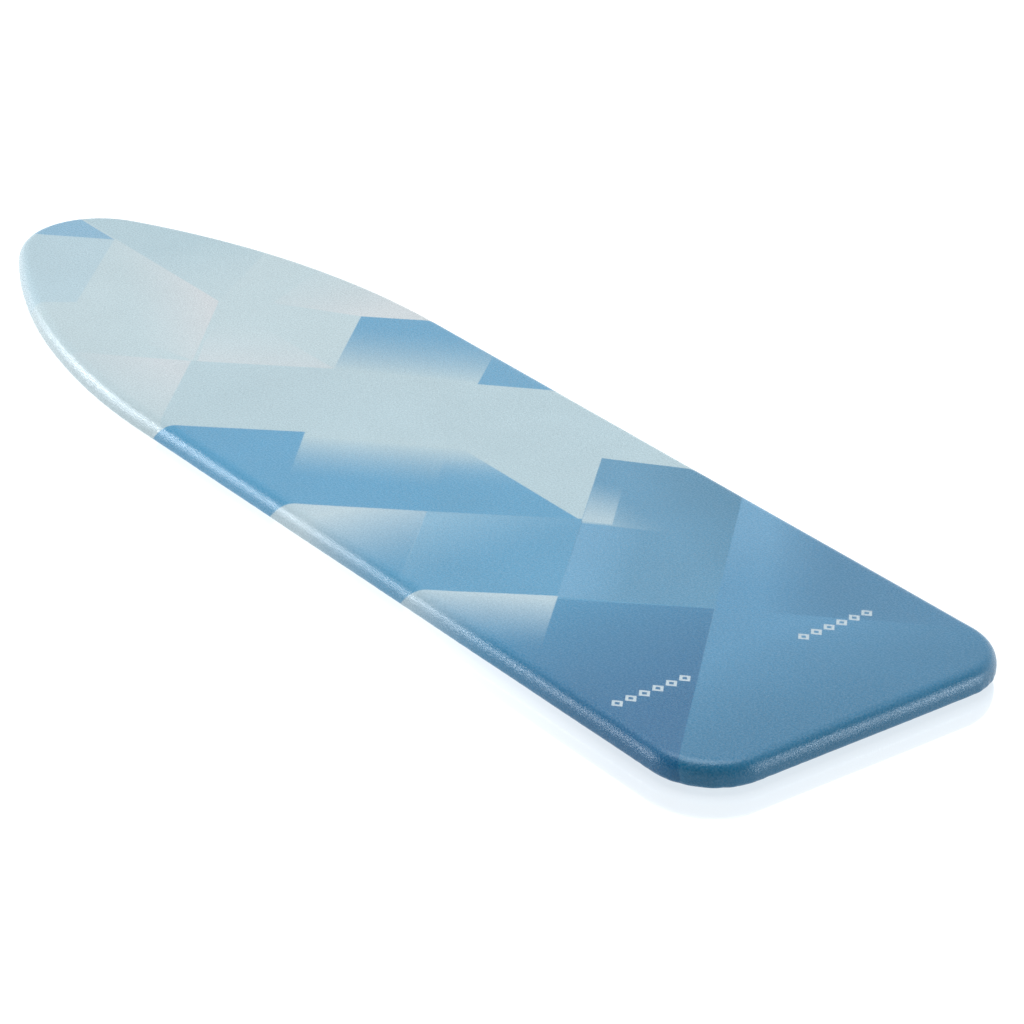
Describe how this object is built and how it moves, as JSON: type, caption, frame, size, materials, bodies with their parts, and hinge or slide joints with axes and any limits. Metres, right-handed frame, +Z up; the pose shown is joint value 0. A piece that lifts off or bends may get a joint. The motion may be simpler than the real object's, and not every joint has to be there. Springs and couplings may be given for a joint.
{
  "type": "ironing board",
  "caption": "Ironing board with a padded, covered steel deck, folding scissor legs, height lever and transport catch, shown folded flat.",
  "frame": {"origin": "on the floor under the middle of the deck, with the board folded flat on its feet", "axes": "+X along the deck to the nose, +Y across the deck towards the height lever, +Z up"},
  "size_m": [1.3, 0.388, 0.03],
  "materials": {
    "cover_fabric": "satin, heat-reflective",
    "foam": "open-cell foam",
    "felt": "needled felt",
    "cord": "braided cord",
    "white_steel": "powder coated",
    "zinc_steel": "zinc plated",
    "bright_steel": "bright drawn",
    "grey_plastic": "moulded",
    "blue_plastic": "moulded",
    "foot_rubber": "moulded rubber"
  },
  "bodies": {
    "board": {"cover": "cover_fabric", "foam_pad": "foam", "felt_underlay": "felt", "hem_casing": "cover_fabric", "drawstring": "cord", "cord_lock_body": "grey_plastic", "deck_mesh": "white_steel", "deck_rim": "white_steel", "rear_plate": "white_steel", "centre_rail": "white_steel", "lock_rail": "white_steel", "front_rail": "white_steel", "pivot_bracket_left": "zinc_steel", "pivot_bracket_right": "zinc_steel", "pivot_pin_left": "bright_steel", "pivot_pin_right": "bright_steel", "bracket_rivets": "zinc_steel", "catch_post": "bright_steel", "lock_housing": "zinc_steel", "lock_spring": "bright_steel", "jam_plate_pin": "bright_steel", "lever_pin": "bright_steel"},
    "outer_legs": {"outer_leg_tube_left": "white_steel", "outer_leg_tube_right": "white_steel", "outer_knuckle_left": "grey_plastic", "outer_knuckle_right": "grey_plastic", "front_foot_bar": "white_steel", "front_foot_cap_left": "foot_rubber", "front_foot_cap_right": "foot_rubber", "crossing_pin_left": "bright_steel", "crossing_pin_right": "bright_steel", "crossing_spacers": "grey_plastic"},
    "inner_legs": {"inner_leg_tube_left": "white_steel", "inner_leg_tube_right": "white_steel", "inner_knuckle_left": "grey_plastic", "inner_knuckle_right": "grey_plastic", "rear_foot_bar": "white_steel", "rear_foot_cap_left": "foot_rubber", "rear_foot_cap_right": "foot_rubber", "upper_brace": "white_steel", "lower_brace": "white_steel", "slide_axle": "bright_steel"},
    "slide": {"slide_head": "grey_plastic", "slide_rod": "bright_steel", "rod_stop": "grey_plastic"},
    "jam_plate": {"jam_plate": "zinc_steel"},
    "lever": {"height_lever": "zinc_steel", "lever_grip": "blue_plastic"},
    "catch": {"transport_catch": "blue_plastic"},
    "cord_button": {"cord_lock_button": "grey_plastic"}
  },
  "joints": [
    {"name": "leg_fold", "type": "hinge", "parent": "board", "child": "outer_legs", "pos_m": [-0.54, 0, 0.011], "axis": [0, 1, 0], "range_deg": [0, 52]},
    {"name": "leg_cross", "type": "hinge", "parent": "outer_legs", "child": "inner_legs", "pos_m": [-0.04, 0, 0.011], "axis": [0, 1, 0], "range_deg": [-104, 0]},
    {"name": "slide_pivot", "type": "hinge", "parent": "inner_legs", "child": "slide", "pos_m": [0.46, 0, 0.011], "axis": [0, 1, 0], "range_deg": [0, 52]},
    {"name": "lever_turn", "type": "hinge", "parent": "board", "child": "lever", "pos_m": [0.025, 0.021, 0.021], "axis": [0, 0, 1], "range_deg": [0, 7], "stiffness_Nm_per_rad": 0.6, "springref_deg": -3.44},
    {"name": "plate_tilt", "type": "hinge", "parent": "board", "child": "jam_plate", "pos_m": [0.031, 0, 0.0075], "axis": [0, 1, 0], "range_deg": [0, 8]},
    {"name": "catch_turn", "type": "hinge", "parent": "board", "child": "catch", "pos_m": [-0.478, 0, 0.005], "axis": [0, 0, 1], "range_deg": [0, 90]},
    {"name": "button_press", "type": "slide", "parent": "board", "child": "cord_button", "axis": [-1, 0, 0], "range_m": [0, 0.003], "stiffness_N_per_m": 400, "springref_m": -0.002}
  ],
  "couplings": [
    {"joint": "leg_cross", "follows": "leg_fold", "ratio": -2},
    {"joint": "slide_pivot", "follows": "leg_fold", "ratio": 1},
    {"joint": "plate_tilt", "follows": "lever_turn", "ratio": 1.14}
  ]
}
